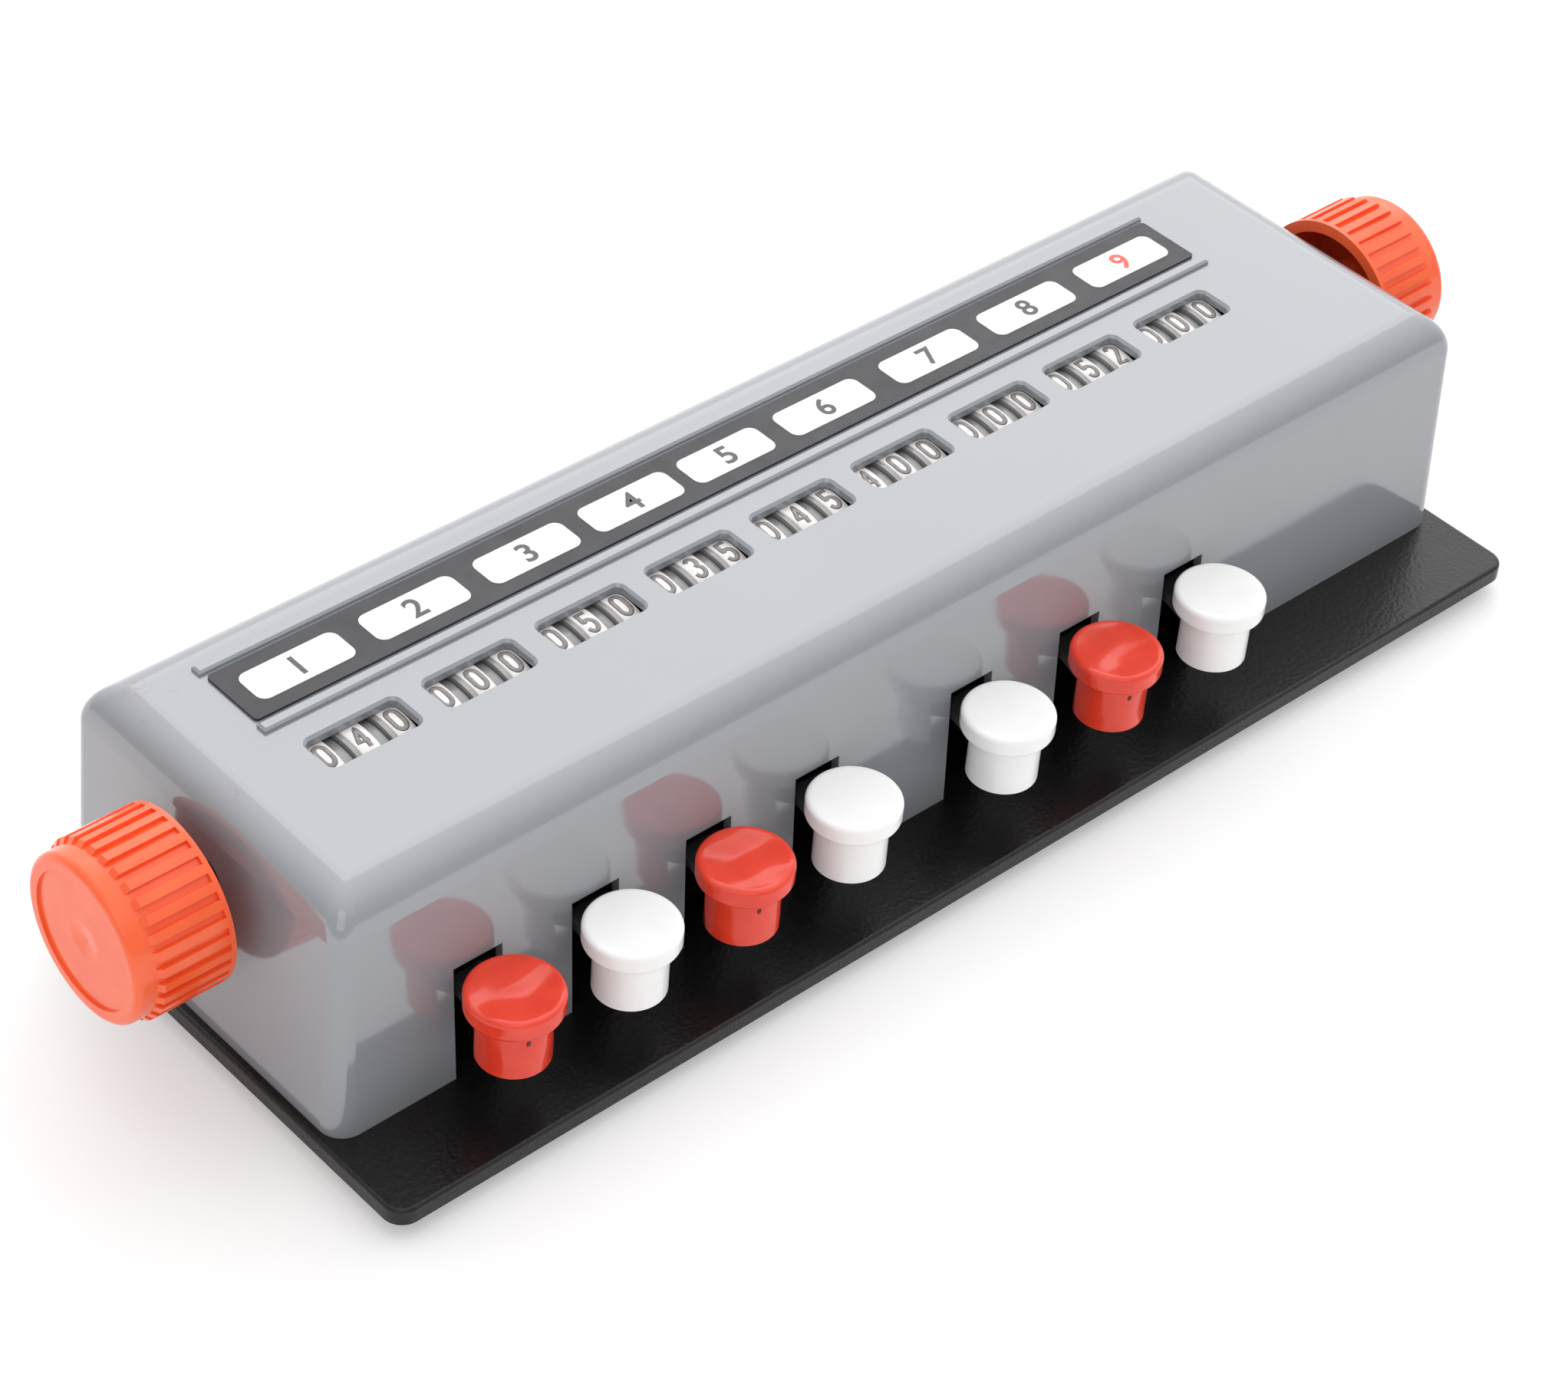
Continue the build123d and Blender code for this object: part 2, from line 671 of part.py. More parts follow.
# key_lever_1 to key_lever_7, each cranked under the wheels to its ratchet
for i, (x, end_x) in enumerate(zip(key_x, lever_x)):
    with BuildPart() as key_lever:
        with BuildSketch(Plane.YZ.offset(x)):
            with BuildLine():
                Polyline(
                    (key_y - lever_width / 2, pad_top - lever_thick / 2),
                    (key_y + peg_boss + gap, pad_top - lever_thick / 2),
                    (cover_front, pad_top + wall_rise - lever_thick / 2),
                    (crank_start, pad_top + wall_rise - lever_thick / 2),
                    (crank_end, arm_top - lever_thick / 2),
                    (rod_y, arm_top - lever_thick / 2),
                )
            trace(line_width=lever_thick)
        extrude(amount=counter_pitch, both=True)
        with BuildSketch(Plane.XY.offset(base_top)):
            with Locations((x, key_y)):
                Circle(lever_width / 2)
            with BuildLine():
                Polyline(
                    (x - lever_width / 2, key_y),
                    (x + lever_width / 2, key_y),
                    (x + lever_width / 2, bend_start),
                    (end_x + arm_width / 2, bend_end),
                    (end_x + arm_width / 2, rod_y),
                    (end_x - arm_width / 2, rod_y),
                    (end_x - arm_width / 2, bend_end),
                    (x - lever_width / 2, bend_start),
                    close=True,
                )
            make_face()
        extrude(amount=cover_height, mode=Mode.INTERSECT)
        # Rolled eye on the rod with the spring tail behind it
        with BuildSketch(rod.offset(end_x - arm_width / 2)):
            Circle(eye_radius)
            with Locations((tail_length / 2, 0)):
                Rectangle(tail_length, lever_thick)
        extrude(amount=arm_width)
        with BuildSketch(rod.offset(end_x - arm_width)):
            Circle(rod_radius + running)
        extrude(amount=2 * arm_width, mode=Mode.SUBTRACT)
        # Hole for the peg of the cap
        with BuildSketch(Plane.XY.offset(base_top)):
            with Locations((x, key_y)):
                Circle(peg_radius + running)
        extrude(amount=cover_height, mode=Mode.SUBTRACT)
        # Pawl, bent up from the edge of the arm
        with BuildSketch(Plane.XY.offset(arm_top - lever_thick)):
            with Locations((end_x + arm_width / 2 - pawl_width / 2, pawl_front + pawl_depth / 2)):
                Rectangle(pawl_width, pawl_depth)
        extrude(amount=wheel_z + pawl_rise - arm_top + lever_thick)
        tip = key_lever.faces().sort_by(Axis.Z)[-1].edges().sort_by(Axis.Y)[0]
        chamfer(tip, pawl_depth / 2)
    key_lever.part.label = f"key_lever_{i + 1}"
    export_step(key_lever.part, f"parts/key_lever_{i + 1}.step")

# hundreds_wheel_1 to units_wheel_9
for i, middle in enumerate(wheels_x):
    for j, name in enumerate(wheel_names):
        drum_left = middle + (j - 1) * wheel_pitch - drum_width / 2
        with BuildPart() as wheel:
            with BuildSketch(axle.offset(drum_left)):
                Circle(wheel_radius)
            extrude(amount=drum_width)
            if name == "units":
                with BuildSketch(axle.offset(drum_left + drum_width)):
                    Circle(ratchet_root)
                extrude(amount=ratchet_neck + ratchet_width)
                with BuildSketch(axle.offset(drum_left + drum_width + ratchet_neck)):
                    with PolarLocations(0, ratchet_teeth):
                        Polygon((0, 0), (ratchet_tip, 0), tooth_heel, align=None)
                extrude(amount=ratchet_width)
            else:
                with BuildSketch(axle.offset(drum_left + drum_width)):
                    Circle(wheel_radius - hub_step)
                extrude(amount=wheel_pitch - drum_width - gap)
            with BuildSketch(axle.offset(drum_left)):
                Circle(bore_radius)
            extrude(amount=2 * wheel_pitch, mode=Mode.SUBTRACT)
        wheel.part.label = f"{name}_wheel_{i + 1}"
        export_step(wheel.part, f"parts/{name}_wheel_{i + 1}.step")
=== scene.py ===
import json
import math

import bmesh
import bpy
from mathutils import Matrix, Vector


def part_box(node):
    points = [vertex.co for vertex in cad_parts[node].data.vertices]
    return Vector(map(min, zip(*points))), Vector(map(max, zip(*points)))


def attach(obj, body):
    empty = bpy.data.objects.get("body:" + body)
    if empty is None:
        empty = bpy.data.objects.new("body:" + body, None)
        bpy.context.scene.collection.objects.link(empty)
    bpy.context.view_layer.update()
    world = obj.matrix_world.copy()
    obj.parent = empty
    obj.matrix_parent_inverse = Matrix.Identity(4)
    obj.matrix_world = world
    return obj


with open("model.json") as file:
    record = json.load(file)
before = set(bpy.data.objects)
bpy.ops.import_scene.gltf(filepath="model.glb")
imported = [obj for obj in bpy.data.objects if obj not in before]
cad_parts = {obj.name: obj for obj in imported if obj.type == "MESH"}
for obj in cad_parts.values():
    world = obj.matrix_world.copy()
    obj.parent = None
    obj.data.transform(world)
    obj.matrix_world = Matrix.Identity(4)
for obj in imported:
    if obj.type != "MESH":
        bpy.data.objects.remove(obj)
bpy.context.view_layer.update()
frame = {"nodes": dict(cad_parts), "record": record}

# Sizes in metres
MM = 0.001

# Number wheels
READINGS = ("040", "000", "050", "035", "045", "400", "000", "052", "000")
WHEELS = ("hundreds", "tens", "units")
SPACER = 3.45 * MM
NUMERAL_FORWARD = 1.0 * MM
NUMERAL_HALF_WIDTH = 1.0 * MM
NUMERAL_HALF_HEIGHT = 2.35 * MM
NUMERAL_STROKE = 0.46 * MM
NUMERAL_RELIEF = 0.24
STROKE_STEP = 0.12
BAND_SHIFT = 0.9 * MM
BAND_RISE = 0.2 * MM
BAND_SPARE = 0.3 * MM
BAND_DEPTH = 0.5 * MM
BAND_EDGE = 0.12 * MM
BAND_STEPS = 120
DIGIT_TURN = math.pi / 5

# Labels on the strip: left and right edges
LABEL_EDGES = (
    (-110.5, -90.75),
    (-86.25, -66.6),
    (-62.1, -42.75),
    (-39.1, -19.35),
    (-16.6, 1.9),
    (6.0, 26.1),
    (31.8, 51.9),
    (56.6, 77.25),
    (81.9, 102.15),
)
LABEL_FRONT = 20.1 * MM
LABEL_BACK = 27.8 * MM
LABEL_CORNER = 1.9 * MM
LABEL_THICK = 0.12 * MM
LABEL_BEVEL = 0.05 * MM
CORNER_STEPS = 8
PRINT_RELIEF = 0.5
PRINT_DEPTH = 0.01
PRINT_WEIGHT = 0.018
LABEL_NUMERAL = 4.9 * MM


# Node helpers
def material(name):
    """A new node material, its tree and its shader."""
    mat = bpy.data.materials.new(name)
    mat.use_nodes = True
    return mat, mat.node_tree, mat.node_tree.nodes["Principled BSDF"]


def add(tree, kind, **values):
    """A shader node with its plain socket values set."""
    made = tree.nodes.new("ShaderNode" + kind)
    for key, value in values.items():
        made.inputs[key].default_value = value
    return made


def noise(tree, scale, detail=4.0, rough=0.5, stretch=(1.0, 1.0, 1.0)):
    """Noise fixed to the piece, with its scale in features to a metre."""
    place = add(tree, "TexCoord")
    mapping = add(tree, "Mapping", Scale=stretch)
    made = add(tree, "TexNoise", Scale=scale, Detail=detail, Roughness=rough)
    tree.links.new(place.outputs["Object"], mapping.inputs["Vector"])
    tree.links.new(mapping.outputs["Vector"], made.inputs["Vector"])
    return made.outputs["Fac"]


def spread(tree, source, low, high, start=0.3, stop=0.7):
    """The source's middle range mapped to low and high."""
    made = add(tree, "MapRange")
    made.inputs["From Min"].default_value = start
    made.inputs["From Max"].default_value = stop
    made.inputs["To Min"].default_value = low
    made.inputs["To Max"].default_value = high
    tree.links.new(source, made.inputs["Value"])
    return made.outputs["Result"]


def two_tone(tree, source, first, second, start=0.35, stop=0.65):
    """A ramp from one colour to the other."""
    made = add(tree, "ValToRGB")
    ends = made.color_ramp.elements
    ends[0].position, ends[0].color = start, (*first, 1.0)
    ends[1].position, ends[1].color = stop, (*second, 1.0)
    tree.links.new(source, made.inputs["Fac"])
    return made.outputs["Color"]


def relief(tree, source, height, strength=1.0, below=None):
    """A bump of that height in metres."""
    made = add(tree, "Bump", Distance=height, Strength=strength)
    tree.links.new(source, made.inputs["Height"])
    if below is not None:
        tree.links.new(below, made.inputs["Normal"])
    return made.outputs["Normal"]


def surface(name, first, second, grain, rough, bump, height, **settings):
    """A finish with uneven colour, uneven gloss and a fine relief."""
    mat, tree, shader = material(name)
    for key, value in settings.items():
        shader.inputs[key.replace("_", " ")].default_value = value
    tone = two_tone(tree, noise(tree, grain), first, second)
    gloss = spread(tree, noise(tree, grain * 3, 6.0, 0.6), *rough)
    normal = relief(tree, noise(tree, bump, 3.0), height)
    tree.links.new(tone, shader.inputs["Base Color"])
    tree.links.new(gloss, shader.inputs["Roughness"])
    tree.links.new(normal, shader.inputs["Normal"])
    return mat


# Old stains on the cover's top: place and reach in millimetres
STAINS = ((-124.0, 35.4, 3.2), (-128.2, 29.0, 1.6), (-120.3, 30.9, 1.3), (-125.3, 6.5, 1.9))
STAIN_HEIGHT = 54.4 * MM
STAIN_BROWN = (0.3, 0.12, 0.1, 1.0)
COVER_GREY = ((0.262, 0.276, 0.3), (0.276, 0.29, 0.314))
BASE_BLACK = ((0.004, 0.0037, 0.004), (0.008, 0.0075, 0.008))


# Cover: glossy vacuum-formed grey sheet with faint waves and a few old stains
def cover_material():
    mat, tree, shader = material("cover_grey")
    shader.inputs["IOR"].default_value = 1.95
    tone = two_tone(tree, noise(tree, 14.0), *COVER_GREY)
    specks = noise(tree, 900.0, 6.0, 0.7)
    place = add(tree, "TexCoord")
    covered = tone
    for x, y, reach in STAINS:
        spot = add(tree, "VectorMath")
        spot.operation = "DISTANCE"
        spot.inputs[1].default_value = (x * MM, y * MM, STAIN_HEIGHT)
        near = spread(tree, spot.outputs["Value"], 1.0, 0.0, 0.0, reach * MM)
        grain = spread(tree, specks, 0.0, 1.0, 0.52, 0.6)
        both = add(tree, "Math")
        both.operation = "MULTIPLY"
        blend = add(tree, "Mix")
        blend.data_type = "RGBA"
        blend.inputs["B"].default_value = STAIN_BROWN
        tree.links.new(place.outputs["Object"], spot.inputs[0])
        tree.links.new(near, both.inputs[0])
        tree.links.new(grain, both.inputs[1])
        tree.links.new(both.outputs["Value"], blend.inputs["Factor"])
        tree.links.new(covered, blend.inputs["A"])
        covered = blend.outputs["Result"]
    gloss = spread(tree, noise(tree, 45.0, 6.0, 0.6), 0.07, 0.13)
    waves = relief(tree, noise(tree, 30.0, 2.0, 0.4, (0.5, 1.0, 1.0)), 0.00012)
    normal = relief(tree, noise(tree, 420.0, 2.0, 0.4), 0.000004, below=waves)
    tree.links.new(covered, shader.inputs["Base Color"])
    tree.links.new(gloss, shader.inputs["Roughness"])
    tree.links.new(normal, shader.inputs["Normal"])
    return mat


# Base plate: black powder coat with a fine pebbled skin
def base_material():
    mat, tree, shader = material("base_black")
    shader.inputs["IOR"].default_value = 1.42
    tone = two_tone(tree, noise(tree, 900.0, 6.0, 0.7), *BASE_BLACK)
    gloss = spread(tree, noise(tree, 60.0, 4.0, 0.6), 0.29, 0.34)
    normal = relief(tree, noise(tree, 1150.0, 2.0, 0.45), 0.00016, 0.6)
    tree.links.new(tone, shader.inputs["Base Color"])
    tree.links.new(gloss, shader.inputs["Roughness"])
    tree.links.new(normal, shader.inputs["Normal"])
    return mat


# Keys: moulded plastic, the red ones with soft sink waves in the top
def key_material(name, first, second, wave):
    mat, tree, shader = material(name)
    shader.inputs["Subsurface Weight"].default_value = 0.06
    shader.inputs["Subsurface Radius"].default_value = (0.002, 0.001, 0.0008)
    shader.inputs["Subsurface Scale"].default_value = 0.5
    tone = two_tone(tree, noise(tree, 160.0), first, second)
    gloss = spread(tree, noise(tree, 420.0, 6.0, 0.6), 0.12, 0.19)
    sink = relief(tree, noise(tree, 90.0, 0.5, 0.3, (1.0, 1.6, 1.0)), wave)
    normal = relief(tree, noise(tree, 1500.0, 3.0), 0.000008, below=sink)
    tree.links.new(tone, shader.inputs["Base Color"])
    tree.links.new(gloss, shader.inputs["Roughness"])
    tree.links.new(normal, shader.inputs["Normal"])
    return mat


# Plain finishes: two colours, grain, gloss range, relief grain and relief height in metres
PLAIN = {
    # Printing and marks
    "wheel_white": (
        ((0.80, 0.76, 0.745), (0.86, 0.83, 0.81)),
        (420.0, (0.3, 0.42), 1200.0, 0.00001),
    ),
    "label_white": (
        ((0.79, 0.79, 0.785), (0.82, 0.82, 0.815)),
        (160.0, (0.42, 0.55), 1800.0, 0.000008),
    ),
    "numeral_dark": (
        ((0.2, 0.185, 0.185), (0.26, 0.24, 0.24)),
        (900.0, (0.14, 0.22), 1500.0, 0.000004),
    ),
    "print_dark": (
        ((0.07, 0.067, 0.075), (0.1, 0.095, 0.105)),
        (2500.0, (0.4, 0.5), 1500.0, 0.000006),
    ),
    "gate_dark": (
        ((0.12, 0.012, 0.01), (0.2, 0.02, 0.015)),
        (2500.0, (0.3, 0.5), 1500.0, 0.00002),
    ),
    "print_red": (
        ((0.72, 0.085, 0.06), (0.8, 0.12, 0.085)),
        (2500.0, (0.4, 0.5), 1500.0, 0.000006),
    ),
    # Mouldings
    "label_dark": (
        ((0.022, 0.0205, 0.025), (0.028, 0.0262, 0.031)),
        (70.0, (0.38, 0.5), 1500.0, 0.000008),
    ),
    "knob_red": (
        ((0.92, 0.115, 0.03), (0.96, 0.14, 0.042)),
        (110.0, (0.14, 0.22), 900.0, 0.000012),
    ),
    # Wheels and spacers: black plastic given a mid grey; the grey is painted sheen, standing
    # in for the room's reflection on glossy black
    "wheel_black": (
        ((0.27, 0.265, 0.27), (0.33, 0.325, 0.33)),
        (300.0, (0.14, 0.24), 900.0, 0.000006),
    ),
    "lever_black": (
        ((0.012, 0.012, 0.013), (0.028, 0.028, 0.029)),
        (150.0, (0.28, 0.42), 1200.0, 0.00002),
    ),
    "stop_felt": (
        ((0.02, 0.02, 0.02), (0.05, 0.05, 0.05)),
        (1500.0, (0.8, 0.95), 2500.0, 0.0002),
    ),
    "foot_rubber": (
        ((0.012, 0.012, 0.012), (0.025, 0.025, 0.025)),
        (400.0, (0.6, 0.8), 1800.0, 0.00003),
    ),
    # Bare metal
    "frame_steel": (
        ((0.42, 0.42, 0.43), (0.52, 0.52, 0.52)),
        (150.0, (0.28, 0.42), 900.0, 0.00001),
    ),
    "shaft_steel": (
        ((0.52, 0.52, 0.53), (0.62, 0.62, 0.62)),
        (240.0, (0.14, 0.28), 1500.0, 0.000005),
    ),
    "spring_steel": (
        ((0.3, 0.31, 0.34), (0.42, 0.42, 0.44)),
        (300.0, (0.18, 0.32), 1500.0, 0.000005),
    ),
    "screw_steel": (
        ((0.45, 0.45, 0.44), (0.58, 0.57, 0.55)),
        (400.0, (0.2, 0.4), 1500.0, 0.00001),
    ),
}
FINISHES = {
    "cover_grey": cover_material(),
    "base_black": base_material(),
    "key_red": key_material("key_red", (0.77, 0.046, 0.02), (0.83, 0.057, 0.026), 0.0022),
    "key_white": key_material("key_white", (0.93, 0.93, 0.925), (0.96, 0.96, 0.955), 0.00006),
}
for name, (colours, feel) in PLAIN.items():
    settings = {"Metallic": 1.0} if name.endswith("_steel") else {}
    if name == "label_white":
        settings["IOR"] = 1.3
    FINISHES[name] = surface(name, *colours, *feel, **settings)
for part in frame["record"]["subparts"]:
    for place in frame["nodes"][part["node"]].material_slots:
        place.material = FINISHES[part["material_slot"]]


# Mesh helpers
def piece(name, made, mats, body):
    """A new piece from a bmesh, riding on a body."""
    mesh = bpy.data.meshes.new(name)
    bmesh.ops.recalc_face_normals(made, faces=made.faces[:])
    made.to_mesh(mesh)
    made.free()
    for mat in mats:
        mesh.materials.append(mat)
    shown = bpy.data.objects.new(name, mesh)
    bpy.context.scene.collection.objects.link(shown)
    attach(shown, body)
    return shown


def from_curve(curve):
    """The mesh of a curve or a text as a bmesh."""
    holder = bpy.data.objects.new(curve.name, curve)
    bpy.context.scene.collection.objects.link(holder)
    bpy.context.view_layer.update()
    graph = bpy.context.evaluated_depsgraph_get()
    mesh = bpy.data.meshes.new_from_object(holder.evaluated_get(graph))
    made = bmesh.new()
    made.from_mesh(mesh)
    bpy.data.objects.remove(holder)
    bpy.data.meshes.remove(mesh)
    bpy.data.curves.remove(curve)
    return made


def join(target, source, index, place):
    """Copy a bmesh into another, moved by place, with a material index."""
    made = {v: target.verts.new(place(v.co)) for v in source.verts}
    for face in source.faces:
        copy = target.faces.new([made[v] for v in face.verts])
        copy.material_index = index
        copy.smooth = True


def arc(cx, cy, rx, ry, start, stop, steps=10):
    """Points along an ellipse, in a box from minus one to one."""
    span = [math.radians(start + (stop - start) * i / steps) for i in range(steps + 1)]
    return [(cx + rx * math.cos(t), cy + ry * math.sin(t)) for t in span]


# Centre lines of the numerals, in a box from minus one to one
STROKES = {
    "0": [arc(0, 0.4, 1, 0.6, 0, 180) + arc(0, -0.4, 1, 0.6, 180, 360) + [(1, 0.4)]],
    "1": [[(-0.55, 0.62), (0.1, 1.0), (0.1, -1.0)]],
    "2": [arc(0, 0.5, 0.95, 0.5, 170, -30) + [(-0.95, -1.0), (1.0, -1.0)]],
    "3": [arc(0, 0.52, 0.9, 0.48, 160, -80) + arc(0, -0.46, 1.0, 0.54, 85, -165)],
    "4": [[(1.0, -0.4), (-1.0, -0.4), (0.45, 1.0), (0.45, -1.0)]],
    "5": [[(0.9, 1.0), (-0.8, 1.0), (-0.88, 0.08)] + arc(0, -0.38, 1.0, 0.6, 130, -160)],
    "6": [arc(0, 0.3, 1.0, 0.7, 40, 180) + arc(0, -0.45, 1.0, 0.55, 180, 540, 20)],
    "7": [[(-1.0, 1.0), (1.0, 1.0), (-0.25, -1.0)]],
    "8": [arc(0, 0.5, 0.86, 0.48, -90, 270, 18), arc(0, -0.48, 1.0, 0.52, 90, 450, 18)],
    "9": [arc(0, 0.45, 1.0, 0.55, 0, 360, 20) + arc(0, -0.3, 1.0, 0.7, 0, -140)],
}


def numeral(text):
    """A raised numeral with a round stroke, flat on the XY plane."""
    curve = bpy.data.curves.new("numeral", "CURVE")
    curve.dimensions = "3D"
    curve.bevel_depth = NUMERAL_STROKE
    curve.bevel_resolution = 1
    curve.use_fill_caps = True
    for corners in STROKES[text]:
        line = corners[:1]
        for (x0, y0), (x1, y1) in zip(corners, corners[1:]):
            count = max(1, math.ceil(abs(y1 - y0) / STROKE_STEP))
            for i in range(1, count + 1):
                line.append((x0 + (x1 - x0) * i / count, y0 + (y1 - y0) * i / count))
        spline = curve.splines.new("POLY")
        spline.points.add(len(line) - 1)
        for point, (x, y) in zip(spline.points, line):
            point.co = (x * NUMERAL_HALF_WIDTH, y * NUMERAL_HALF_HEIGHT, 0.0, 1.0)
    made = from_curve(curve)
    for v in made.verts:
        v.co.z *= NUMERAL_RELIEF
    return made


# Number wheels: a white band round each drum with ten raised black numerals
NUMERALS = {text: numeral(text) for text in STROKES}
first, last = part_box("tens_wheel_5")
AXLE_Y = (first.y + last.y) / 2
AXLE_Z = (first.z + last.z) / 2
RADIUS = (last.z - first.z) / 2
HUB = last.x - first.x


def on_wheel(x, reach, turn):
    """A point at a reach and turn about the axle, with zero straight up."""
    return Vector((x, AXLE_Y + reach * math.sin(turn), AXLE_Z + reach * math.cos(turn)))


def wheel_face(name, counter, reading):
    """The band and numerals of one wheel, with a reading in its window."""
    left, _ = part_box(f"{name}_wheel_{counter}")
    start = left.x + BAND_SHIFT
    stop = start + HUB - SPACER + BAND_SPARE
    radius = RADIUS + BAND_RISE
    middle = (start + stop) / 2
    made = bmesh.new()
    profile = (
        (start, RADIUS - BAND_DEPTH),
        (start, radius - BAND_EDGE),
        (start + BAND_EDGE, radius),
        (stop - BAND_EDGE, radius),
        (stop, radius - BAND_EDGE),
        (stop, RADIUS - BAND_DEPTH),
    )
    rings = []
    for step in range(BAND_STEPS):
        turn = 2 * math.pi * step / BAND_STEPS
        rings.append([made.verts.new(on_wheel(x, reach, turn)) for x, reach in profile])
    for i, ring in enumerate(rings):
        after = rings[(i + 1) % BAND_STEPS]
        for j in range(len(profile) - 1):
            face = made.faces.new((ring[j], after[j], after[j + 1], ring[j + 1]))
            face.smooth = j == 2
    for text, shape in NUMERALS.items():
        offset = (int(text) - int(reading)) * DIGIT_TURN - NUMERAL_FORWARD / RADIUS

        def place(co, offset=offset):
            return on_wheel(middle + co.x, radius + co.z, offset + co.y / RADIUS)

        join(made, shape, 1, place)
    piece(
        f"{name}_face_{counter}",
        made,
        (FINISHES["wheel_white"], FINISHES["numeral_dark"]),
        f"{name}_{counter}",
    )


for counter, reading in enumerate(READINGS, 1):
    for name, text in zip(WHEELS, reading):
        wheel_face(name, counter, text)


# Labels: white plates with plain numerals, the last one red
def rounded_plate(made, left, right, low, high):
    """A thin plate with round corners and a small edge."""
    corners = (
        (right - LABEL_CORNER, LABEL_BACK - LABEL_CORNER, 0),
        (left + LABEL_CORNER, LABEL_BACK - LABEL_CORNER, 90),
        (left + LABEL_CORNER, LABEL_FRONT + LABEL_CORNER, 180),
        (right - LABEL_CORNER, LABEL_FRONT + LABEL_CORNER, 270),
    )
    loops = []
    for z, inset in ((low, 0.0), (high - LABEL_BEVEL, 0.0), (high, LABEL_BEVEL)):
        reach = LABEL_CORNER - inset
        loop = []
        for cx, cy, start in corners:
            for step in range(CORNER_STEPS + 1):
                turn = math.radians(start + step * 90 / CORNER_STEPS)
                x, y = cx + reach * math.cos(turn), cy + reach * math.sin(turn)
                loop.append(made.verts.new((x, y, z)))
        loops.append(loop)
    for lower, upper in zip(loops, loops[1:]):
        for i in range(len(lower)):
            j = (i + 1) % len(lower)
            made.faces.new((lower[i], lower[j], upper[j], upper[i]))
    made.faces.new(loops[-1])
    made.faces.new(loops[0])


def label_numeral(text, height):
    """A printed numeral, centred on the XY plane."""
    curve = bpy.data.curves.new("print", "FONT")
    curve.body = text
    curve.extrude = PRINT_DEPTH
    curve.offset = PRINT_WEIGHT
    made = from_curve(curve)
    xs = [v.co.x for v in made.verts]
    ys = [v.co.y for v in made.verts]
    middle = Vector(((min(xs) + max(xs)) / 2, (min(ys) + max(ys)) / 2, 0.0))
    scale = height / (max(ys) - min(ys))
    for v in made.verts:
        v.co = (v.co - middle) * scale
    return made


strip_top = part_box("label_strip")[1].z
for number, (left, right) in enumerate(LABEL_EDGES, 1):
    top = strip_top + LABEL_THICK
    made = bmesh.new()
    rounded_plate(made, left * MM, right * MM, strip_top, top)
    centre = Vector(((left + right) * MM / 2, (LABEL_FRONT + LABEL_BACK) / 2, top))
    shape = label_numeral(str(number), LABEL_NUMERAL)
    for v in shape.verts:
        v.co.z *= PRINT_RELIEF
    join(made, shape, 1, lambda co, centre=centre: centre + co)
    shape.free()
    for face in made.faces:
        face.smooth = False
    ink = "print_red" if number == len(LABEL_EDGES) else "print_dark"
    mats = (FINISHES["label_white"], FINISHES[ink])
    piece(f"label_{number}", made, mats, "housing")


# Gate marks: a torn nib under the rim of each red cap
GATE_TURN = math.radians(-108)
GATE_DROP = 6.2 * MM
GATE_SIZE = 0.42 * MM
SKIRT_RADIUS = 6.3 * MM


def gate_mark(number):
    low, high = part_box(f"key_cap_{number}")
    centre = Vector(((low.x + high.x) / 2, (low.y + high.y) / 2, high.z - GATE_DROP))
    outward = Vector((math.cos(GATE_TURN), math.sin(GATE_TURN), 0.0))
    made = bmesh.new()
    bmesh.ops.create_icosphere(made, subdivisions=2, radius=GATE_SIZE)
    for v in made.verts:
        v.co.z *= 1.0 if v.co.z > 0 else 1.9
        v.co += centre + outward * SKIRT_RADIUS
    for face in made.faces:
        face.smooth = True
    piece(f"gate_{number}", made, (FINISHES["gate_dark"],), f"key_{number}")


for part in frame["record"]["subparts"]:
    if part["material_slot"] == "key_red":
        gate_mark(part["node"].split("_")[-1])


# Floor
FLOOR_GLOW = 0.3
bpy.ops.mesh.primitive_plane_add(size=12.0, location=(0.0, 0.0, 0.0))
floor = bpy.context.object
floor.name = "floor"
mat, tree, shader = material("floor_white")
shader.inputs["Base Color"].default_value = (0.95, 0.95, 0.95, 1.0)
shader.inputs["Roughness"].default_value = 0.6
glow = add(tree, "Emission", Strength=1.0)
path = add(tree, "LightPath")
share = add(tree, "Math")
share.operation = "MULTIPLY"
share.inputs[1].default_value = FLOOR_GLOW
mix = add(tree, "MixShader")
tree.links.new(path.outputs["Is Camera Ray"], share.inputs[0])
tree.links.new(share.outputs["Value"], mix.inputs["Fac"])
tree.links.new(shader.outputs["BSDF"], mix.inputs[1])
tree.links.new(glow.outputs["Emission"], mix.inputs[2])
tree.links.new(mix.outputs["Shader"], tree.nodes["Material Output"].inputs["Surface"])
floor.data.materials.append(mat)


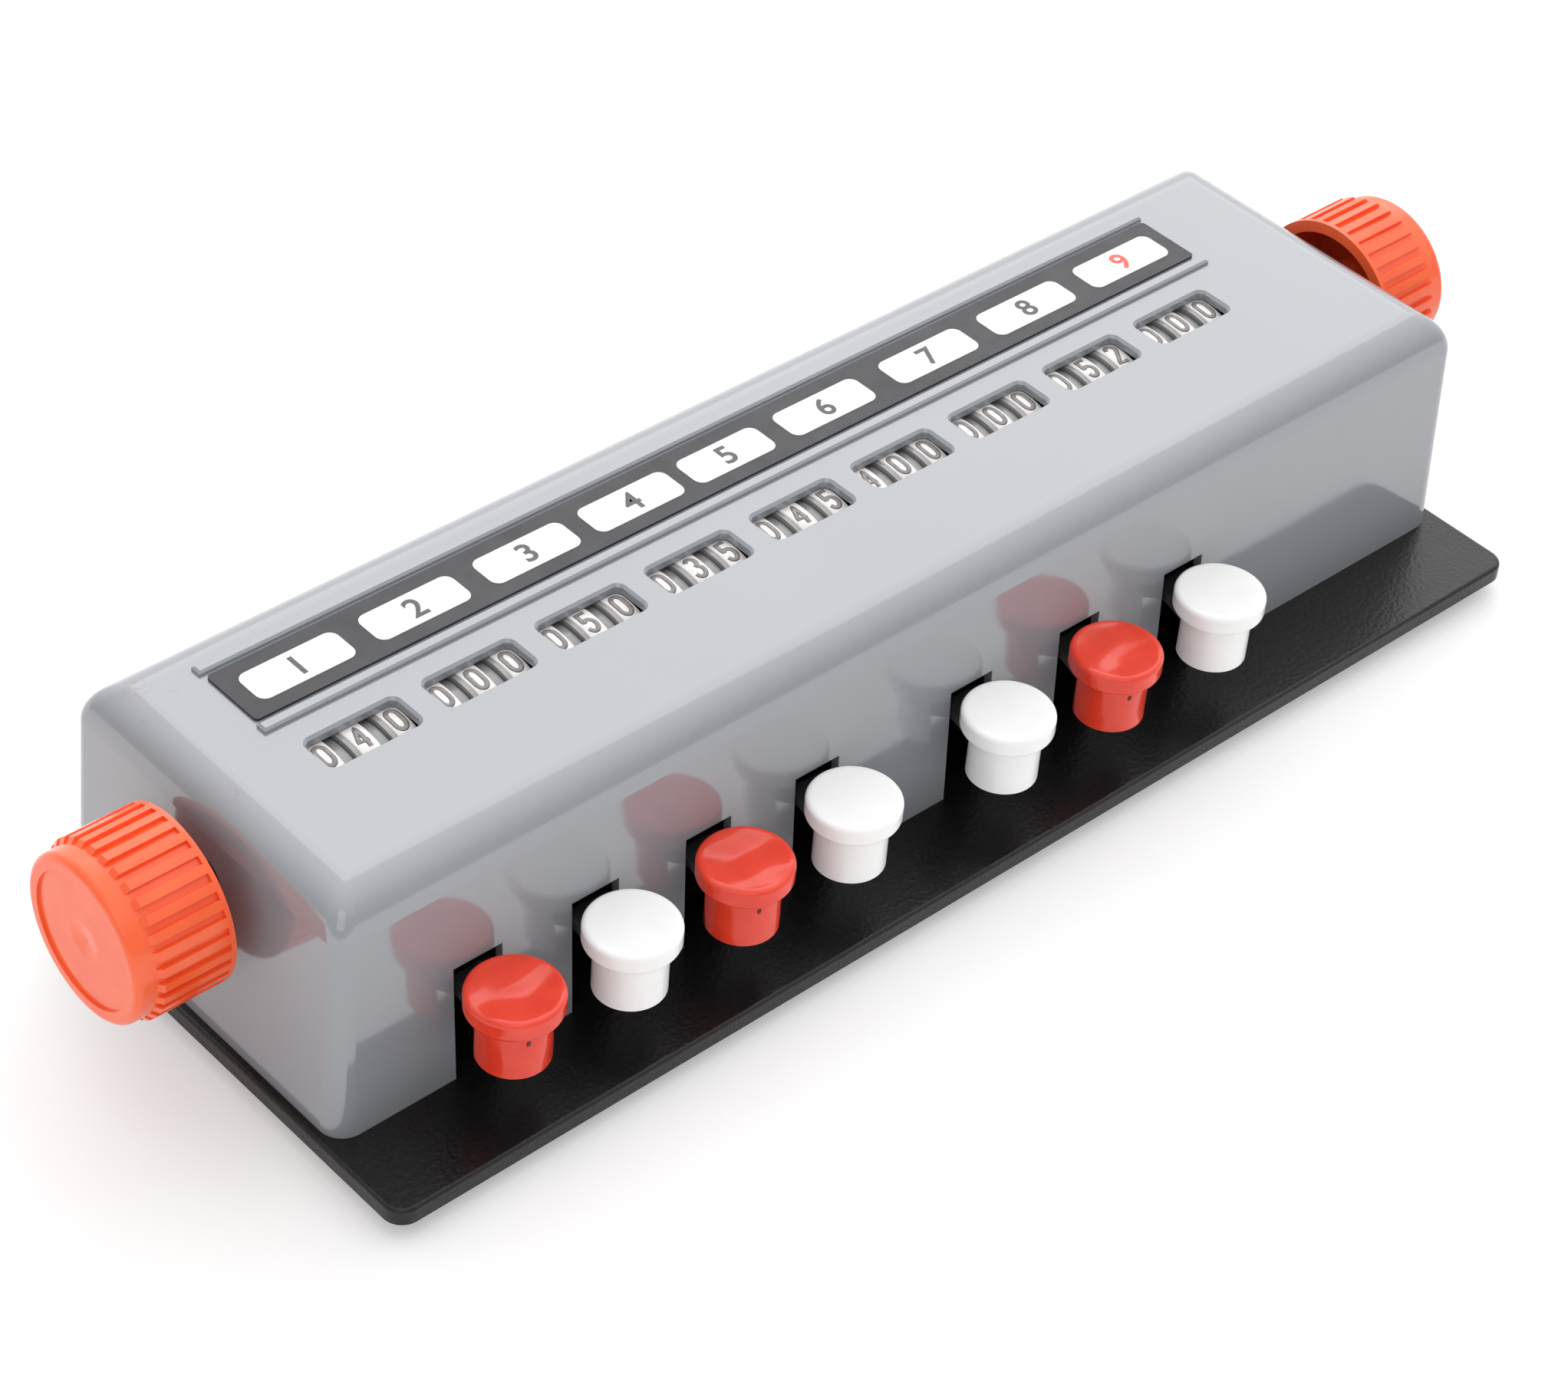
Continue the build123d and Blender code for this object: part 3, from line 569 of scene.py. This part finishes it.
# Lamps
def area(name, place, target, width, depth, power):
    """A soft rectangular lamp that faces a point."""
    light = bpy.data.lights.new(name, "AREA")
    light.shape = "RECTANGLE"
    light.size = width
    light.size_y = depth
    light.energy = power
    lamp = bpy.data.objects.new(name, light)
    lamp.location = place
    lamp.rotation_euler = (Vector(target) - Vector(place)).to_track_quat("-Z", "Y").to_euler()
    bpy.context.scene.collection.objects.link(lamp)


area("softbox_back", (0.75, 0.72, 0.95), (0.0, 0.0, 0.03), 1.15, 1.15, 3.3)
area("softbox_left", (-0.8, -0.7, 0.9), (0.0, 0.0, 0.03), 1.0, 1.0, 2.4)

# Light tent: brightest behind and above, on the right
TENT_SIDE = (0.45, 0.42, 0.79)
TENT_LIGHT = (0.55, 1.7)
TENT_EDGE = (0.1, 0.95)
world = bpy.data.worlds.new("room")
bpy.context.scene.world = world
world.use_nodes = True
tree = world.node_tree
background = tree.nodes["Background"]
background.inputs["Color"].default_value = (1.0, 1.0, 1.0, 1.0)
place = add(tree, "TexCoord")
facing = add(tree, "VectorMath")
facing.operation = "DOT_PRODUCT"
facing.inputs[1].default_value = TENT_SIDE
bright = spread(tree, facing.outputs["Value"], *TENT_LIGHT, *TENT_EDGE)
tree.links.new(place.outputs["Generated"], facing.inputs[0])
tree.links.new(bright, background.inputs["Strength"])

# Camera, at the photograph's place
CAMERA_PLACE = (-0.396511, -0.381933, 0.482774)
CAMERA_RIGHT = (0.74164, -0.667647, 0.064938)
CAMERA_UP = (0.400159, 0.518037, 0.755983)
CAMERA_BACK = (-0.53837, -0.534682, 0.651362)
camera = bpy.data.cameras.new("camera")
camera.lens = 92.238
camera.sensor_width = 36.0
camera.clip_start = 0.05
camera.clip_end = 20.0
shooter = bpy.data.objects.new("camera", camera)
bpy.context.scene.collection.objects.link(shooter)
turn = Matrix((CAMERA_RIGHT, CAMERA_UP, CAMERA_BACK)).transposed().to_4x4()
shooter.matrix_world = Matrix.Translation(CAMERA_PLACE) @ turn
bpy.context.scene.camera = shooter
bpy.context.scene.view_settings.view_transform = "Standard"
